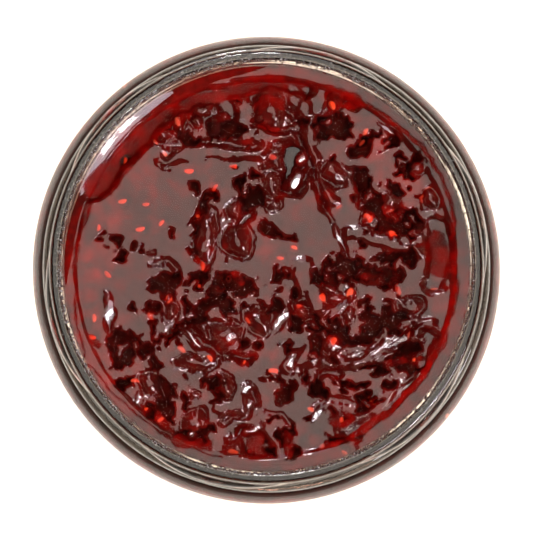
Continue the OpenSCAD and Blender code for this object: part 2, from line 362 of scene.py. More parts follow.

# %% [markdown]
# Some slopes are clear and deep red, because the lamp above isn't mirrored in them. The widest runs along
# the glass. The gel mirrors less there, and the pulp under them is painted brighter, as painted light. These
# strokes are (width, brightness of the red, points).

# %% Deep red slopes
RED = [
    (0.8, 0.7, [(-34.6, 0), (-33.6, 7), (-31, 13.5)]),
    (4.2, 0.72, [(-31, 14.5), (-27.4, 18), (-24, 21.6), (-19.4, 26.4), (-14.6, 29.6)]),
    (2.8, 0.72, [(-14.6, 29.6), (-8, 31.4), (-2, 33), (3, 33.4)]),
    (0.7, 0.8,
     [(3, 33.6), (11, 32.6), (18, 29.8), (23, 26.2), (28.6, 21.4), (31.6, 16.6), (33.6, 11), (34, 0)]),
    (1.1, 0.85, [(34, 0), (33.8, -6), (31.6, -13.6), (28, -19.6), (22.4, -25.6), (15, -30.6), (11, -32)]),
    (0.3, 0.6,
     [(-34.6, 0), (-34.3, -9), (-32.4, -16.6), (-27, -23), (-21.4, -28.2), (-15, -31.8), (-8, -34.2)]),
    (4, 0.6, [(30.6, 5), (31, 0.4)]), (2.2, 0.7, [(-16, -31), (-10.6, -31.6)]),
    (3.4, 0.7, [(-2, -30.8), (-2, -33)]), (1.9, 0.65, [(3.8, -29.8), (4, -33.4)]),
    (2.8, 0.75, [(12.6, 30.4), (16, 30)]), (2.8, 0.75, [(12.6, -27.4), (14.6, -27.2)]),
    (1.4, 0.75, [(-1, 25.6), (1.8, 25.2)]), (2, 0.7, [(-1.6, 28.6), (0, 30.4), (2.4, 29.4)]),
    (1.6, 0.7, [(17.6, 23.6), (18.6, 23)]), (1.6, 0.7, [(-12.4, 1.4), (-11, 0.2)]),
    (1.8, 0.7, [(-19.6, -26.4), (-18, -28.4)]), (1.6, 0.65, [(21.4, -17.4), (25, -16.6)]),
    (2, 0.6, [(22.6, 9), (24.6, 10.6)]), (1.6, 0.65, [(-5.6, -1), (-4.6, -2.6)]),
    (2, 0.6, [(17.6, -1.6), (20, -2.4)]), (1.4, 0.7, [(-31.4, -12.8), (-30.6, -14)]),
    (1.3, 0.6, [(5.4, -7.4), (6.6, -6.4)]),
]
print(len(RED), "red slopes")

# %% [markdown]
# Whole fruit and drupelets stand up as domes: (x, y, length, width, turn in degrees, height). How
# far a point is from one is measured as a share of its half length and half width.

# %% Lumps of fruit
LUMPS = [
    (-18.6, 24, 3.6, 3.2, 0, 1.2), (-11.8, 28.6, 4, 3, 20, 1.1), (-9.6, 25.8, 3, 3.4, 0, 1.3),
    (-12.6, 26.4, 2.4, 2.6, 0, 1), (-7.6, 27.2, 1.6, 1.6, 0, 0.8), (-16, 26.2, 2.6, 2.4, 0, 0.9),
    (-5.6, 10.5, 3.6, 3.4, 0, 1.1), (-5.2, 4.8, 5.4, 5, 0, 1.4), (-10.8, 5.8, 8.4, 3.6, 84, 1.1),
    (0.8, 28.8, 7, 6, 90, 1.5), (12, 17.4, 4, 3.6, 0, 1), (1.4, 18.6, 4.6, 3.4, 50, 0.9),
    (1, 15, 4.8, 3.6, 100, 0.9), (12.2, 30, 3.4, 2.6, 60, 0.9), (27.6, 17.9, 3.6, 2.4, 40, 1),
    (22.4, 12, 3, 3, 0, 0.9), (18.2, 9, 3.4, 2.2, 50, 0.8), (-9.6, -4, 2.6, 2, 0, 0.8),
    (-17.4, -8, 3.6, 2.4, 60, 0.9), (-21.2, -20.8, 4.4, 3.6, 90, 0.7), (-7.5, -12, 5.4, 5, 0, 1.3),
    (-1.4, -9.6, 5, 4.6, 0, 1), (6.2, -7.9, 3, 2.4, 0, 0.9), (11.3, -3.8, 2.3, 1.5, 0, 1),
    (12.4, -5.6, 2.6, 2.2, 0, 0.7), (15, -4.8, 2.2, 2.8, 0, 0.9), (12, -13.8, 3.4, 3, 0, 0.9),
    (-7.4, -21, 2.4, 4, 0, 0.9), (-13, -22.6, 1.8, 1.8, 0, 0.6), (-5.4, -32.6, 3.2, 4, 0, 1),
    (14.8, -8.4, 2, 3.4, 0, 0.9), (13.4, -10, 1.4, 2, 0, 0.8), (-13, -27.4, 4.4, 3, 20, 0.7),
    (27.5, 6.9, 2, 2, 0, 0.6), (-20.8, 2.7, 1.2, 1.2, 0, 0.5), (-12.8, -17.2, 7.4, 3, 0, 0.9),
    (29.6, 12.6, 3.4, 3, 60, 0.8), (26, -6.6, 4, 3, 0, 0.7), (1.5, 11, 2.2, 2, 0, 0.6),
    (-12, -32, 1.1, 1.1, 0, 0.4), (-2.5, -33, 0.9, 0.9, 0, 0.4), (-17.6, -29.3, 1.6, 1.6, 0, 0.5),
    (15.8, -31.2, 1.8, 0.9, 0, 0.5),
]
print(len(LUMPS), "lumps")


def around(x, y, feature):
    """Distance from the feature's middle, as a share of its half length and half width."""
    dx, dy, turn = x - feature[0], y - feature[1], math.radians(feature[4])
    u = (dx * math.cos(turn) + dy * math.sin(turn)) * 2 / feature[2]
    v = (dy * math.cos(turn) - dx * math.sin(turn)) * 2 / feature[3]
    return np.hypot(u, v)


# %% [markdown]
# Where fruit leans towards the window, its wet face mirrors the window's soft glow. Those are the sheens.
# In the calm places nothing lies close below, so the gel stays smooth. Both are (x, y, length, width, turn).

# %% Sheens and calm places
SHEENS = [
    (5.2, 15.6, 5, 3.6, 60), (6.3, 20, 3.4, 1.8, 70), (2.6, 26.8, 2.4, 3, 60), (-7.6, 8.6, 3, 1.6, 40),
    (30.2, 12.4, 4, 2.2, 70), (27.2, 17.6, 3, 1.5, 60), (-17.3, -10, 4.4, 2.2, 60),
    (-13, -17.4, 7, 2.4, 12), (-12.6, -27, 5, 2.4, 20), (-22.8, -23.4, 4, 2, 50), (-3.6, -22, 3, 2, 50),
    (-5, -33, 2.4, 3, 20), (2.2, -9.6, 6, 2.6, 50), (4.4, -17.2, 3, 2.2, 60), (12.2, -5.6, 2.6, 2.4, 60),
    (14.8, -8.6, 3, 1.4, 80), (24.2, -6.4, 2.4, 2, 50), (27.2, -7, 5, 3, 60), (22.4, -13.6, 13, 1.7, 27),
    (16.2, -15.6, 3, 1.8, 30), (24, -22.4, 9, 2.2, 42), (16.6, -27.8, 7, 2.6, 30),
    (-7.6, -11.2, 2, 1.4, 40), (-18, 22.4, 2, 1.4, 40), (-11.4, 27.2, 2, 1.2, 40),
    (-13.4, -12.6, 6, 1.2, 140), (9.2, -26.4, 4, 1.6, 40), (-28.4, -8, 8, 2.4, 95),
    (13.2, 5.4, 6, 1.4, 115), (21.6, 25.4, 4, 1.6, 150), (-2.4, -29.2, 5, 1.8, 20),
]
CALM = [
    (-26.5, -1, 17, 36, 0), (-20, 14, 22, 15, 0), (7.5, 6.5, 12, 10, 0), (-7, 21.6, 27, 5, 0),
    (14, 13, 6, 10, 0), (20, 27, 9, 5, -20), (7.6, -3.6, 6, 11, 20), (30.6, 2, 5, 12, 0),
    (5.2, 17.5, 5, 11, 0),
]
print(len(SHEENS), "sheens and", len(CALM), "calm places")

# %% [markdown]
# Straight strokes would look drawn. So the plane is bent with noise before any distance is measured, and
# each stroke takes its edge from that bent plane.

# %% Distances, strokes and bending
def from_path(x, y, path):
    """Distance from a chain of points."""
    nearest = np.full_like(x, 1000.0)
    for (x0, y0), (x1, y1) in zip(path, path[1:]):
        dx, dy = x1 - x0, y1 - y0
        t = np.clip(((x - x0) * dx + (y - y0) * dy) / (dx * dx + dy * dy), 0, 1)
        nearest = np.minimum(nearest, np.hypot(x - x0 - t * dx, y - y0 - t * dy))
    return nearest


def strokes(x, y, paths, soft):
    """Depth left by strokes: each one's own depth in its middle, and nothing past its edge."""
    deepest = np.zeros_like(x)
    for width, depth, path in paths:
        d = from_path(x, y, path)
        deepest = np.maximum(deepest, depth * smooth((width / 2 + soft / 2 - d) / soft))
    return deepest


def bend(x, y, big, small, seed):
    """The point moved a little by noise: big swings and small ones."""
    moved = []
    for start, first in ((x, seed), (y, seed + 3)):
        swing = big * noise(x, y, 3.6, first) + small * noise(x, y, 1.4, first + 1)
        moved.append(start + swing + 0.4 * small * noise(x, y, 0.7, first + 2))
    return moved


# %% [markdown]
# Three maps say what the skin is like at a point: how much the fruit below breaks it up, how deep it is
# torn, and how brightly a slope shines red. The gel and the pulp both use them, so shape and colour agree.

# %% Maps of the skin
def busy(x, y):
    """1 where the gel is broken up by fruit just below it, 0 where it lies calm."""
    level = np.ones_like(x)
    for f in CALM:
        level = np.minimum(level, smooth((around(x, y, f) - 0.85) / 0.4))
    return level * smooth((34 - np.hypot(x, y)) / 3)


def torn(x, y):
    """How deep the skin is torn away at a point."""
    wx, wy = bend(x, y, 0.9, 0.7, 30)
    rip = strokes(wx, wy, TORN, 0.7)
    island = smooth((noise(x, y, 3.2, 52) + 0.5 * noise(x, y, 1.2, 53) - 0.02) / 0.2)
    speck = noise(wx, wy, 3.4, 50) + 0.6 * noise(wx, wy, 1.5, 51)
    hole = smooth((speck - 0.7) / 0.12) * busy(x, y) + 0.7 * smooth((speck - 1.05) / 0.15)
    rip = np.maximum(rip * (1 - island), 0.9 * np.minimum(hole, 1))
    for f in SHEENS:
        rip = rip * (1 - smooth((1.2 - around(wx, wy, f)) / 0.2))
    return rip


def red(x, y):
    """How brightly red the slopes are painted, from 0 to 1, and 0 away from them."""
    return strokes(*bend(x, y, 0.4, 0.25, 45), RED, 0.4)


torn_share = torn(*np.meshgrid(np.linspace(-23, 23, 60), np.linspace(-23, 23, 60))) > 0.4
print("torn share of the middle:", round(float(torn_share.mean()), 2))

# %% [markdown]
# The height map puts it all together. The last thing is the edge: jam wets the glass and climbs it, in a
# narrow shelf with a slope inside it. Where the jam was poured, the shelf rises to the glass more steeply.

# %% The height map
LEVEL, CLIMB = JAR_H - 9, 1.3
SHELF_R, WET_SIDE = 34.7, 2.4
TO_WINDOW, SHEEN_SLOPE = (0.766, -0.643), 0.46


def surface(x, y):
    """Height of the gel above the general level, in millimetres."""
    sx, sy = bend(x, y, 0.7, 0.3, 40)
    fuss = busy(x, y)
    h = 0.55 + 0.35 * noise(x, y, 9, 9) + 0.1 * noise(x, y, 4, 10) + 0.02 * noise(x, y, 1.5, 11)
    h = h + fuss * (0.24 * noise(sx, sy, 4.2, 12) + 0.05 * noise(sx, sy, 1.9, 13))
    for width, height, path in RIDGES:
        q = from_path(sx, sy, path) * 2 / width
        h = h + height * smooth(1.1 - 0.75 * q)
    h = h - strokes(sx, sy, VALLEYS, 1.6)
    rip = torn(x, y)
    t = np.clip(rip / 0.8, 0, 1)
    wx, wy = bend(x, y, 0.5, 0.3, 60)
    rough = 0.7 * noise(wx, wy, 2.4, 17) + 0.25 * noise(wx, wy, 1.2, 18)
    h = h * (1 - 0.7 * t) - rip + t * rough
    for f in SHEENS:
        q = around(sx, sy, f)
        face = smooth((1.15 - q) / 0.6)
        fall = SHEEN_SLOPE * (TO_WINDOW[0] * (x - f[0]) + TO_WINDOW[1] * (y - f[1]))
        h = h * (1 - face) + face * (0.5 - fall + 0.05 * noise(x, y, 2.2, 15))
    for f in LUMPS:
        q = around(sx, sy, f)
        dome = f[5] * 1.15 * (1 - q * q) + 0.08 * noise(sx, sy, 1.8, 20) + 0.3
        dip = smooth((1.4 - q) / 0.4)
        ground = h * (1 - dip) + np.minimum(h, 0.1) * dip
        h = np.where(q < 1.04, np.maximum(ground, dome), ground)
    r = np.hypot(x, y)
    angle = np.arctan2(y, x)
    width = 1.1 + 0.6 * np.cos(angle + 0.3) + 0.4 * noise(x, y, 6, 14)
    step = smooth((r - SHELF_R + width) / width)
    wet = smooth((np.cos(angle - WET_SIDE) - 0.5) / 0.4)
    rise = 0.2 + 0.7 * wet
    t = np.clip((r - SHELF_R) / (MOUTH_R - SHELF_R), 0, 1)
    return h * (1 - step) + (CLIMB - rise * (1 - 0.65 * t - 0.35 * t * t)) * step


heights = surface(*np.meshgrid(np.linspace(-23, 23, 120), np.linspace(-23, 23, 120)))
print("surface from", heights.min().round(2), "to", heights.max().round(2), "mm in the middle")

# %% [markdown]
# A square grid is pulled into a disc, so that the surface has cells of nearly one size everywhere and a
# perfectly round edge, where a spun disc would crowd them at the middle. Its rim is then extruded down to
# make a closed body.

# %% A round sheet of even cells
def round_sheet(cells, radius):
    """A grid of square cells pulled into a disc of this radius in millimetres, in the plane z = 0."""
    bpy.ops.object.select_all(action="DESELECT")
    bpy.ops.mesh.primitive_grid_add(x_subdivisions=cells, y_subdivisions=cells, size=2)
    sheet = bpy.context.object
    points = get_points(sheet) * MM
    u, v = points[:, 0].copy(), points[:, 1].copy()
    points[:, 0] = radius * u * np.sqrt(1 - v * v / 2)
    points[:, 1] = radius * v * np.sqrt(1 - u * u / 2)
    set_points(sheet, points)
    return sheet


def close_below(sheet, rings):
    """Extrudes the sheet's rim through rings of (radius, height) and closes the last one."""
    only(sheet)
    bpy.ops.object.mode_set(mode="EDIT")
    bpy.ops.mesh.select_mode(type="EDGE")
    bpy.ops.mesh.select_all(action="DESELECT")
    bpy.ops.mesh.select_non_manifold(extend=False)
    for (r0, z0), (r1, z1) in zip(rings, rings[1:]):
        bpy.ops.mesh.extrude_region_move(TRANSFORM_OT_translate={"value": (0, 0, (z1 - z0) * MM)})
        bpy.ops.transform.resize(value=(r1 / r0, r1 / r0, 1))
    bpy.ops.mesh.edge_face_add()
    bpy.ops.object.mode_set(mode="OBJECT")
    return sheet


def mark(piece, name, values):
    """Stores one value per vertex under a name that a material can read."""
    data = piece.data.attributes.new(name, "FLOAT", "POINT")
    data.data.foreach_set("value", values)


SINK = 0.2
RIM_Z = LEVEL + CLIMB
print("the jam reaches", SINK, "mm into the glass and climbs it to", round(RIM_Z, 1), "mm")

# %% [markdown]
# ## Gel and pulp
# The gel is the clear top layer. It reaches a little way into the glass, so that no film of air shows
# between them. Its torn and red places are marked on its vertices, so that its finish can follow them.

# %% The gel
GEL_CELLS = 296
gel = round_sheet(GEL_CELLS, MOUTH_R + SINK)
points = get_points(gel)
x, y = points[:, 0], points[:, 1]
points[:, 2] = LEVEL + surface(x, y)
rim = np.hypot(x, y) > MOUTH_R
points[rim, 2] = RIM_Z
set_points(gel, points)
ragged = smooth((torn(x, y) - 0.2) / 0.2)
mark(gel, "ragged", np.maximum(ragged, 0.85 * smooth(red(x, y) / 0.4)))
close_below(gel, [(MOUTH_R + SINK, z) for z in (RIM_Z, LEVEL - 1.5, LEVEL - 4)])
finish_piece(gel, "jam_gel", 75)
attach(gel, "root")

# %% [markdown]
# The pulp follows the gel's surface at some depth. Where a seed lies under the gel the pulp round it is
# painted brighter, as painted light that glows. The same painted light goes on the red slopes and the slope
# by the glass, where light gets in from outside, and painted shade darkens the torn places. The seeds'
# places are (x, y), and how bright the pulp is painted at each vertex is stored with the mesh.

# %% How deep the pulp is, and how bright it is painted
SEEDS = [
    (-9.3, 14.7), (-16, 26.5), (-20, 22.7), (-25.5, 19.5), (-14, 17.5), (-30.3, 7.3), (-22.8, 7),
    (-19, 8.2), (-21.8, 11.5), (-12.5, 9.5), (-11.5, 0.5), (17.8, 24.7), (29, 14.5), (22.3, 10.5),
    (18.5, 9), (13, 11.2), (5, 3.8), (2.5, 1.8), (1, 20), (-12, -3.3), (-17.5, -5.8), (-21, -8.7),
    (-15.3, -14.6), (-23.7, -20.3), (-22, -25.5), (-31.5, -12.5), (-28.7, -1.2), (10, -5.5), (15, -4.5),
    (23.8, -4), (30.3, -4), (25.7, -12), (12, -13.3), (6, -7), (1.3, -18.5), (10, -32.5), (8, -25.5),
    (-6, -33), (28, 12.5), (-10.3, -16.3), (-4, -17.5), (-19.3, -27.5), (12, 29.5), (17.3, 22.8),
    (13.5, -27.5), (15.7, -31.5), (14, -33.3), (-31, -9), (-26, 12), (-6, 18.5), (19, -24), (22.6, 6),
    (-3.2, -9.4), (27, -16.4), (-18.4, 20.6),
]


def pulp_depth(x, y):
    """How deep the pulp lies below the gel's surface."""
    r = np.hypot(x, y)
    depth = 1.0 + 0.35 * noise(x, y, 3.5, 21) + 0.2 * noise(x, y, 1.5, 22) - 0.3 * smooth(torn(x, y))
    for sx, sy in SEEDS:
        depth = depth + 0.8 * smooth(1.3 - np.hypot(x - sx, y - sy) / 1.4)
    near_glass = smooth((r - 32) / 2.5)
    return np.clip(depth, 0.25, 2) * (1 - near_glass) + 1.2 * near_glass


def glow(x, y):
    """How brightly lit the pulp is painted, from 0 to 1: painted light and shade for its colour."""
    r = np.hypot(x, y)
    # Painted light: uneven, and brighter towards the glass.
    lit = 0.48 + 0.12 * noise(x, y, 7, 70) + 0.1 * noise(x, y, 2.6, 71) + 0.12 * smooth((r - 24) / 8)
    # Painted shade: the pulp is darker where the skin is torn.
    lit = lit * (1 - 0.8 * smooth(torn(x, y) / 0.8))
    # Painted light: the pulp is brighter by the glass and on the red slopes.
    shelf = smooth((r - 34.4) / 0.8)
    lit = np.maximum(lit, shelf * (0.55 + 0.2 * noise(x, y, 5, 72)))
    lit = np.maximum(lit, red(x, y) * (0.95 + 0.3 * noise(x, y, 2.2, 73)))
    # Painted glow: the pulp round each seed under the gel is brighter.
    for sx, sy in SEEDS:
        lit = np.maximum(lit, 0.8 * smooth(1.1 - np.hypot(x - sx, y - sy) / 2))
    return np.clip(lit, 0, 1)


glows = glow(*np.meshgrid(np.linspace(-23, 23, 60), np.linspace(-23, 23, 60)))
print(len(SEEDS), "seeds, glow from", glows.min().round(2), "to", glows.max().round(2))

# %% [markdown]
# Down the side the pulp fills the cavity, so its rim is extruded along the cavity's own outline. It reaches
# a little less far into the glass than the gel, so that the two never lie on each other.

# %% The pulp
PULP_CELLS, SHY = 220, 0.05
PULP_R = MOUTH_R + SINK - SHY
TOP_GLOW = 0.6
cavity = rounded([(MOUTH_R, LEVEL - 3, 0), *inside[1:-1], (20, FLOOR_Z, 0)], steps=6)
pulp = round_sheet(PULP_CELLS, PULP_R)
points = get_points(pulp)
x, y = points[:, 0], points[:, 1]
points[:, 2] = LEVEL + surface(x, y) - pulp_depth(x, y)
rim = np.hypot(x, y) > MOUTH_R
points[rim, 2] = LEVEL
set_points(pulp, points)
mark(pulp, "glow", TOP_GLOW * glow(x, y))
wall_rings = []
for a, b in zip(cavity, cavity[1:]):
    steps = max(1, round(abs(b[1] - a[1]) / 2)) if abs(a[0] - INNER_R) < 0.01 else 1
    wall_rings += [a + (b - a) * k / steps for k in range(steps)]
rings = [(PULP_R, LEVEL)]
for r, z in wall_rings + [cavity[-1]]:
    rings.append((r + SINK - SHY, z - SINK if z < FLOOR_Z + 0.01 else z))
close_below(pulp, rings)

# %% [markdown]
# Light comes in all along the side and fades under the dark shoulder, so the side is painted brighter
# than the top, in soft patches, with painted shade under the shoulder. Distance along the wall stands in
# for x, so the patches are round there.

# %% Painted light on the side
SHADE_Z, SHADE_H = 74, 10
points = get_points(pulp)
below = points[:, 2] < LEVEL - 2.5
marks = np.empty(len(points))
pulp.data.attributes["glow"].data.foreach_get("value", marks)
along, z = np.arctan2(points[:, 1], points[:, 0]) * 40, points[:, 2]
wall = 0.9 + 0.2 * noise(along, z, 7, 80) + 0.12 * noise(along, z, 2.6, 81)
# Painted light down the side, fading to painted shade under the shoulder.
marks[below] = (wall * smooth((SHADE_Z - z) / SHADE_H))[below]
pulp.data.attributes["glow"].data.foreach_set("value", marks)
finish_piece(pulp, "jam_pulp", 60)
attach(pulp, "root")
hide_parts("jam")

# %% [markdown]
# ## Seeds
# A raspberry seed is a pale, slightly bent oval, a little over two millimetres long. One seed is modelled
# from a small sphere and copied: to the listed places where seeds show through the gel, and at random down
# the side of the jar. The copies are joined into one piece of each kind, which keeps the scene light.

# %% Small shapes and their copies
def ball(subdivisions):
    """A small sphere's own vertices, in its radii, and its faces."""
    bpy.ops.object.select_all(action="DESELECT")
    bpy.ops.mesh.primitive_ico_sphere_add(subdivisions=subdivisions, radius=MM)
    one = bpy.context.object
    points = get_points(one)
    faces = [tuple(p.vertices) for p in one.data.polygons]
    bpy.data.objects.remove(one)
    return points, faces


def seed_shape():
    """A seed's vertices, in millimetres, and its faces: a flattened ball, bent sideways."""
    points, faces = ball(2)
    points *= (1.25, 0.62, 0.5)
    points[:, 1] += 0.12 * points[:, 0] ** 2
    return points, faces


def scatter(name, places, shape):
    """Joins copies of a shape, one at each (point, three turns, size), into one piece."""
    points, faces = shape
    all_points, all_faces = [], []
    for place, (a, b, c), size in places:
        turn = np.array([[math.cos(a), -math.sin(a), 0], [math.sin(a), math.cos(a), 0], [0, 0, 1]])
        tip = np.array([[math.cos(b), 0, math.sin(b)], [0, 1, 0], [-math.sin(b), 0, math.cos(b)]])
        spin = np.array([[math.cos(c), -math.sin(c), 0], [math.sin(c), math.cos(c), 0], [0, 0, 1]])
        start = len(all_points) * len(points)
        all_points.append((points * size) @ (turn @ tip @ spin).T + place)
        all_faces += [tuple(start + i for i in f) for f in faces]
    mesh = bpy.data.meshes.new(name)
    mesh.from_pydata((np.concatenate(all_points) * MM).tolist(), [], all_faces)
    piece = bpy.data.objects.new(name, mesh)
    bpy.context.collection.objects.link(piece)
    return finish_piece(piece, name, 180)


# %% Seeds under the surface
FULL_TURN = 2 * math.pi
rng = np.random.default_rng(7)
places = []
for x, y in SEEDS:
    top = LEVEL + float(surface(np.array([x]), np.array([y]))[0])
    turns = (rng.uniform(0, 6.3), rng.uniform(-0.3, 0.3), 0)
    places.append(((x, y, top - rng.uniform(1.0, 1.9)), turns, rng.uniform(0.5, 0.75)))
seeds = scatter("top_seeds", places, seed_shape())
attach(seeds, "root")

# %% [markdown]
# Seeds that touch the glass show from the side. They stand on edge, with their flat side to the wall.

# %% Seeds against the wall
SIDE_SEEDS = 190
places = []
for k in range(SIDE_SEEDS):
    a, z = rng.uniform(0, FULL_TURN), rng.uniform(FLOOR_Z + 5, INNER_SHOULDER_Z - 3)
    size = rng.uniform(0.8, 1.05)
    r = INNER_R - rng.uniform(0, 0.2)
    turns = (a, math.pi / 2, rng.uniform(0, 3.1))
    places.append(((r * math.cos(a), r * math.sin(a), z), turns, size))
side_seeds = scatter("side_seeds", places, seed_shape())
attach(side_seeds, "root")

# %% [markdown]
# ## Residue on the lip
# Filling leaves fine drops of syrup on the lip, thickest where the jam was poured. Each is a ball of twenty
# faces, half sunk in the glass. They could be a bump in the glass, but real ones catch the light singly.

# %% Drops on the lip
DROP_TRIES, DROP_R, LIP_MIDDLE = 2600, 37.1, (MOUTH_R + NECK_R) / 2


def lip_height(from_flat):
    """How high the rounded lip is, this far past the edge of its flat top."""
    return JAR_H - LIP_R + math.sqrt(LIP_R**2 - max(0, from_flat) ** 2)


places = []
for k in range(DROP_TRIES):
    a = rng.uniform(0, FULL_TURN)
    thick = 0.5 + 0.5 * math.cos(a - WET_SIDE)
    if rng.uniform() > 0.25 + 0.75 * thick:
        continue
    r = DROP_R + 0.5 * math.sin(3 * a) * math.sin(2 * a + 1) + rng.normal(0, 0.16 + 0.3 * thick)
    r = min(max(r, MOUTH_R + 0.1), NECK_R - 0.2)
    size = 0.09 + 0.24 * rng.uniform() ** 2
    z = lip_height(abs(r - LIP_MIDDLE) - (NECK_R - MOUTH_R) / 2 + LIP_R)
    z = min(z + 0.4 * size, JAR_H - size)
    places.append(((r * math.cos(a), r * math.sin(a), z), (a, 0, 0), size))
drops = scatter("lip_drops", places, ball(1))
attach(drops, "root")

# %% [markdown]
# Dark specks of dried jam sit on the inner edge of the lip and, more thinly, on the wall just inside it.

# %% Specks on the lip and inside the neck
EDGE_SPECKS, WALL_SPECKS, SPECK_R = 2300, 1100, 36.86
places = []
for k in range(EDGE_SPECKS):
    a = rng.uniform(0, FULL_TURN)
    middle = SPECK_R + 0.1 * math.sin(5 * a) * math.sin(3 * a + 1)
    r = min(max(rng.normal(middle, 0.14), MOUTH_R + 0.02), MOUTH_R + 1)
    size = 0.09 + 0.15 * rng.uniform() ** 2
    z = min(lip_height(MOUTH_R + LIP_R - r) + 0.3 * size, JAR_H - size)
    places.append(((r * math.cos(a), r * math.sin(a), z), (a, 0, 0), size))
for k in range(WALL_SPECKS):
    a = rng.uniform(0, FULL_TURN)
    z = RIM_Z + 0.3 + (JAR_H - 1 - RIM_Z) * rng.uniform() ** 0.7
    size = 0.08 + 0.12 * rng.uniform() ** 2
    r = MOUTH_R - 0.3 * size
    places.append(((r * math.cos(a), r * math.sin(a), min(z, JAR_H - LIP_R)), (a, 0, 0), size))
specks = scatter("lip_specks", places, ball(1))
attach(specks, "root")

# %% [markdown]
# ## Finishes
# A finish is a small tree of nodes. These helpers start one, add a node with its values, link two nodes and
# put the finish on a piece, so that each cell below says only what is particular to its material.

# %% Helpers for shader nodes
def new_material(name):
    """A material with only its output node, and its node tree."""
    material = bpy.data.materials.new(name)
    material.use_nodes = True
    tree = material.node_tree
    tree.nodes.clear()
    tree.nodes.new("ShaderNodeOutputMaterial")
    return material, tree


def node(tree, kind, **inputs):
    """Adds a node, sets its inputs by name, with spaces written as underscores, and returns it."""
    added = tree.nodes.new("ShaderNode" + kind)
    for key, value in inputs.items():
        added.inputs[key.replace("_", " ")].default_value = value
    return added


def link(giver, out_name, taker, in_name):
    """Links an output of one node to an input of another, by name or by number."""
    giver.id_data.links.new(giver.outputs[out_name], taker.inputs[in_name])


def show(shader, out_name="BSDF", in_name="Surface"):
    """Links a shader to the material's output."""
    end = next(n for n in shader.id_data.nodes if n.type == "OUTPUT_MATERIAL")
    link(shader, out_name, end, in_name)


def attribute(tree, name):
    """A node that reads what was marked on the vertices under this name."""
    reader = node(tree, "Attribute")
    reader.attribute_name = name
    return reader


def blend_of(tree, *stops):
    """A colour ramp through these (position, colour) stops, from the lowest position up."""
    ramp = node(tree, "ValToRGB")
    elements = ramp.color_ramp.elements
    elements.remove(elements[1])
    elements[0].position, elements[0].color = stops[0]
    for position, colour in stops[1:]:
        elements.new(position).color = colour
    return ramp


def paint(piece, material):
    """Gives the whole piece one material."""
    piece.data.materials.clear()
    piece.data.materials.append(material)
    print(piece.name, "is painted with", material.name)


# %% [markdown]
# Jar glass is clear but not colourless: in thick places it turns brown, which is what volume absorption
# does. The pressed neck has faint rings in it, and they break up the reflections there. A bump makes them,
# from a wave texture whose strength grows from nothing at the shoulder.

# %% Clear glass
glass_finish, tree = new_material("clear_glass")
shader = node(tree, "BsdfPrincipled", Base_Color=(1.0, 0.96, 0.89, 1), Roughness=0.0, IOR=1.5,
              Transmission_Weight=1.0)
place = node(tree, "TexCoord")
waves = node(tree, "TexWave", Scale=500.0, Distortion=3.0, Detail=2.0, Detail_Scale=0.5)
waves.wave_type = "RINGS"
waves.rings_direction = "SPHERICAL"
split = node(tree, "SeparateXYZ")
amount = node(tree, "MapRange", From_Min=0.07, From_Max=0.074, To_Min=0.0, To_Max=0.18)
bump = node(tree, "Bump", Distance=0.0001)
link(place, "Object", waves, "Vector")
link(waves, "Fac", bump, "Height")
link(place, "Object", split, "Vector")
link(split, "Z", amount, "Value")
link(amount, "Result", bump, "Strength")
link(bump, "Normal", shader, "Normal")
show(shader)
soak = node(tree, "VolumeAbsorption", Color=(0.8, 0.6, 0.4, 1), Density=60.0)
show(soak, "Volume", "Volume")
paint(glass, glass_finish)

# %% [markdown]
# The drops are far too small for light to be traced through them with profit. A dark metal gives the same
# bright glint in a dark ball. The specks are plain dried jam with a little shine.

# %% Drops and specks
drop_finish, tree = new_material("bright_drop")
shader = node(tree, "BsdfPrincipled", Base_Color=(0.2, 0.18, 0.18, 1), Roughness=0.1, Metallic=1.0)
show(shader)
paint(drops, drop_finish)
speck_finish, tree = new_material("dark_speck")
shader = node(tree, "BsdfPrincipled", Base_Color=(0.05, 0.022, 0.018, 1), Roughness=0.2)
show(shader)
paint(specks, speck_finish)

# %% [markdown]
# The gel is clear too, and its absorption takes out green and blue within a millimetre or two and lets red
# through. Where it is torn or slopes away, it is rougher and mirrors less: the mark on its vertices raises
# the bump and lowers the refractive index there. Shadow rays pass straight through with a red tint, because
# light bent through a rough gel would take far too long to find the lamps.

# %% Red gel
gel_finish, tree = new_material("red_gel")
shader = node(tree, "BsdfPrincipled", Base_Color=(1, 1, 1, 1), Roughness=0.03, IOR=1.46,
              Transmission_Weight=1.0)
place = node(tree, "TexCoord")
fine = node(tree, "TexNoise", Scale=1400.0, Detail=3.0)
ragged_mark = attribute(tree, "ragged")
amount = node(tree, "MapRange", To_Min=0.02, To_Max=0.3)
shine = node(tree, "MapRange", To_Min=1.46, To_Max=1.1)
bump = node(tree, "Bump", Distance=0.0003)
link(place, "Object", fine, "Vector")
link(fine, "Fac", bump, "Height")
link(ragged_mark, "Fac", amount, "Value")
link(amount, "Result", bump, "Strength")
link(bump, "Normal", shader, "Normal")
link(ragged_mark, "Fac", shine, "Value")
link(shine, "Result", shader, "IOR")

# %% Light through the gel
clear = node(tree, "BsdfTransparent", Color=(0.95, 0.5, 0.45, 1))
light = node(tree, "LightPath")
mix = node(tree, "MixShader")
link(light, "Is Shadow Ray", mix, "Fac")
link(shader, "BSDF", mix, 1)
link(clear, "BSDF", mix, 2)
show(mix, "Shader")
soak = node(tree, "VolumeAbsorption", Color=(0.95, 0.35, 0.1, 1), Density=900.0)
show(soak, "Volume", "Volume")
paint(gel, gel_finish)
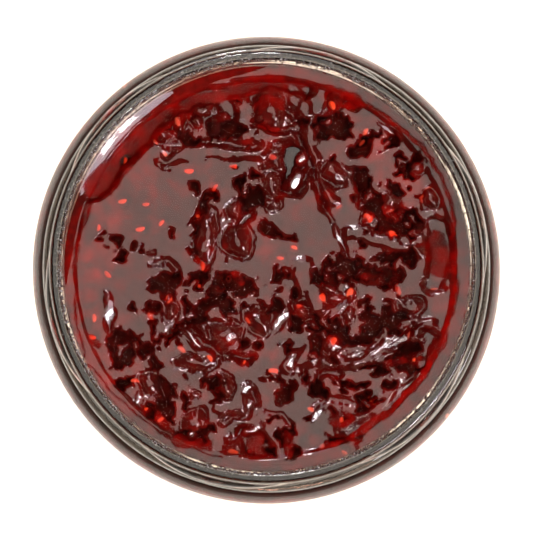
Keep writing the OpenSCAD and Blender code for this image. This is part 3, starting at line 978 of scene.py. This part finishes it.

# %% [markdown]
# Pulp is dull, and a little light spreads inside it. Its colour carries the painted light and shade of the
# glow mark: from nearly black in the torn places to a deep red on lit slopes, and to the brightest red only
# down the side, where the marks are highest. Noise two millimetres wide is added to the mark before the
# ramp, so no area is one flat red.

# %% Dark pulp
pulp_finish, tree = new_material("dark_pulp")
shader = node(tree, "BsdfPrincipled", Roughness=0.6, Specular_IOR_Level=0.1,
              Subsurface_Weight=0.3, Subsurface_Scale=0.001)
place = node(tree, "TexCoord")
cloud = node(tree, "TexNoise", Scale=420.0, Detail=4.0)
glow_mark = attribute(tree, "glow")
spread = node(tree, "MapRange", To_Min=-0.21, To_Max=0.21)
total = node(tree, "Math")
# The ramp turns the painted light and shade of the glow mark into the base colour.
LIT = (0.22, 0.003, 0.003, 1)
ramp = blend_of(tree, (0.03, (0.009, 0, 0, 1)), (0.3, (0.042, 0.0006, 0.0005, 1)), (0.57, LIT), (0.78, LIT),
                (1.0, (0.4, 0.008, 0.006, 1)))
link(place, "Object", cloud, "Vector")
link(cloud, "Fac", spread, "Value")
link(spread, "Result", total, 0)
link(glow_mark, "Fac", total, 1)
link(total, "Value", ramp, "Fac")
link(ramp, "Color", shader, "Base Color")
show(shader)
paint(pulp, pulp_finish)

# %% [markdown]
# Seeds are straw-coloured and stained red by the jam, each to its own degree. The noise is wider than a
# seed, so it varies from seed to seed more than within one.

# %% Pale seeds
seed_finish, tree = new_material("pale_seed")
shader = node(tree, "BsdfPrincipled", Roughness=0.5)
place = node(tree, "TexCoord")
cloud = node(tree, "TexNoise", Scale=140.0, Detail=1.0)
ramp = blend_of(tree, (0.35, (0.34, 0.035, 0.016, 1)), (0.65, (0.75, 0.16, 0.055, 1)))
link(place, "Object", cloud, "Vector")
link(cloud, "Fac", ramp, "Fac")
link(ramp, "Color", shader, "Base Color")
show(shader)
paint(seeds, seed_finish)
paint(side_seeds, seed_finish)

# %% [markdown]
# ## The floor, the lights and the camera
# The floor is white and gives off a little light of its own, so that it stays white right up to the glass.
# Seen from below it is clear, so that the base of the jar can be looked at.

# %% Floor
bpy.ops.object.select_all(action="DESELECT")
bpy.ops.mesh.primitive_plane_add(size=6)
floor = bpy.context.object
floor.name = floor.data.name = "floor"
floor_finish, tree = new_material("white_floor")
shader = node(tree, "BsdfPrincipled", Base_Color=(0.9, 0.85, 0.76, 1), Roughness=0.9,
              Emission_Color=(1, 0.93, 0.8, 1), Emission_Strength=0.8)
clear = node(tree, "BsdfTransparent")
underside = node(tree, "NewGeometry")
mix = node(tree, "MixShader")
link(underside, "Backfacing", mix, "Fac")
link(shader, "BSDF", mix, 1)
link(clear, "BSDF", mix, 2)
show(mix, "Shader")
paint(floor, floor_finish)

# %% [markdown]
# One large lamp hangs overhead, and is what the level gel mirrors. A window at the right gives the small
# white glints, and one at the back is dimmer. A lamp's strength is given as the brightness of its face,
# because that is what shows in a mirror. Blender wants its power, which is 4 times that times the area.

# %% Lamps
def lamp(name, azimuth, elevation, distance, size, radiance, tint=(1, 1, 1), slip=(0, 0)):
    """A lamp aimed at the jam, placed by its angles, whose face has this radiance.

    A single size makes a disc, and two make a rectangle. The slip moves it sideways and up in its plane."""
    data = bpy.data.lights.new(name, "AREA")
    if isinstance(size, tuple):
        data.shape, data.size, data.size_y = "RECTANGLE", size[0], size[1]
        area = size[0] * size[1]
    else:
        data.shape, data.size = "DISK", size
        area = math.pi * size * size / 4
    data.energy = radiance * 4 * area
    data.color = tint
    piece = bpy.data.objects.new(name, data)
    bpy.context.collection.objects.link(piece)
    a, e = math.radians(azimuth), math.radians(elevation)
    way = Vector((math.cos(e) * math.cos(a), math.cos(e) * math.sin(a), math.sin(e)))
    side = Vector((-math.sin(a), math.cos(a), 0))
    middle = Vector((0, 0, LEVEL * MM)) + way * distance
    piece.location = middle + side * slip[0] + way.cross(side) * slip[1]
    piece.rotation_euler = way.to_track_quat("Z", "Y").to_euler()
    print(name, "gives", round(data.energy, 1), "W")


def window(name, azimuth, elevation, radiance, glow_radiance):
    """Four small panes with dark bars between them, in front of a large dim glow."""
    for i, slip in enumerate([(-0.07, -0.07), (0.07, -0.07), (-0.07, 0.07), (0.07, 0.07)]):
        pane = name + "_pane_" + str(i)
        lamp(pane, azimuth, elevation, 1.2, (0.1, 0.1), radiance, (1, 0.98, 1), slip)
    lamp(name + "_glow", azimuth, elevation, 1.3, 0.75, glow_radiance, (0.95, 0.93, 1))


lamp("overhead", 90, 88, 1.2, 1.42, 2.15, (1, 0.955, 0.86))
window("window", -40, 38, 36, 7.5)
window("far_window", 95, 46, 36, 2.2)

# %% [markdown]
# The room is bright near the horizon and dark above, so the glass has something to refract and the steep
# parts of the gel still mirror darkness.

# %% Room
world = bpy.data.worlds.new("room")
bpy.context.scene.world = world
world.use_nodes = True
tree = world.node_tree
place = node(tree, "TexCoord")
split = node(tree, "SeparateXYZ")
fade = node(tree, "MapRange", From_Min=0.1, From_Max=0.3, To_Min=1.0, To_Max=0.0)
DARK_ROOM, HORIZON = (0.06, 0.052, 0.044, 1), (0.55, 0.48, 0.38, 1)
ramp = blend_of(tree, (0, DARK_ROOM), (1, HORIZON))
link(place, "Generated", split, "Vector")
link(split, "Z", fade, "Value")
link(fade, "Result", ramp, "Fac")
link(ramp, "Color", tree.nodes["Background"], "Color")
print("room fades from", HORIZON[:3], "to", DARK_ROOM[:3])

# %% [markdown]
# The jar is seen from almost straight above, through a long lens from a short way off, so that both the
# mouth and the wider body below it show as rings.

# %% Camera
TILT, REACH = math.radians(1.8), 0.6
camera_data = bpy.data.cameras.new("camera")
camera = bpy.data.objects.new("camera", camera_data)
bpy.context.collection.objects.link(camera)
bpy.context.scene.camera = camera
camera_data.sensor_width = 36
camera_data.lens = 228
camera_data.clip_start = 0.01
aim = Vector((0, 0, JAR_H * MM))
camera.location = aim + REACH * Vector((0, -math.sin(TILT), math.cos(TILT)))
camera.rotation_euler = (TILT, 0, 0)
bpy.context.scene.view_settings.view_transform = "Standard"
print("camera at", [round(v, 3) for v in camera.location])
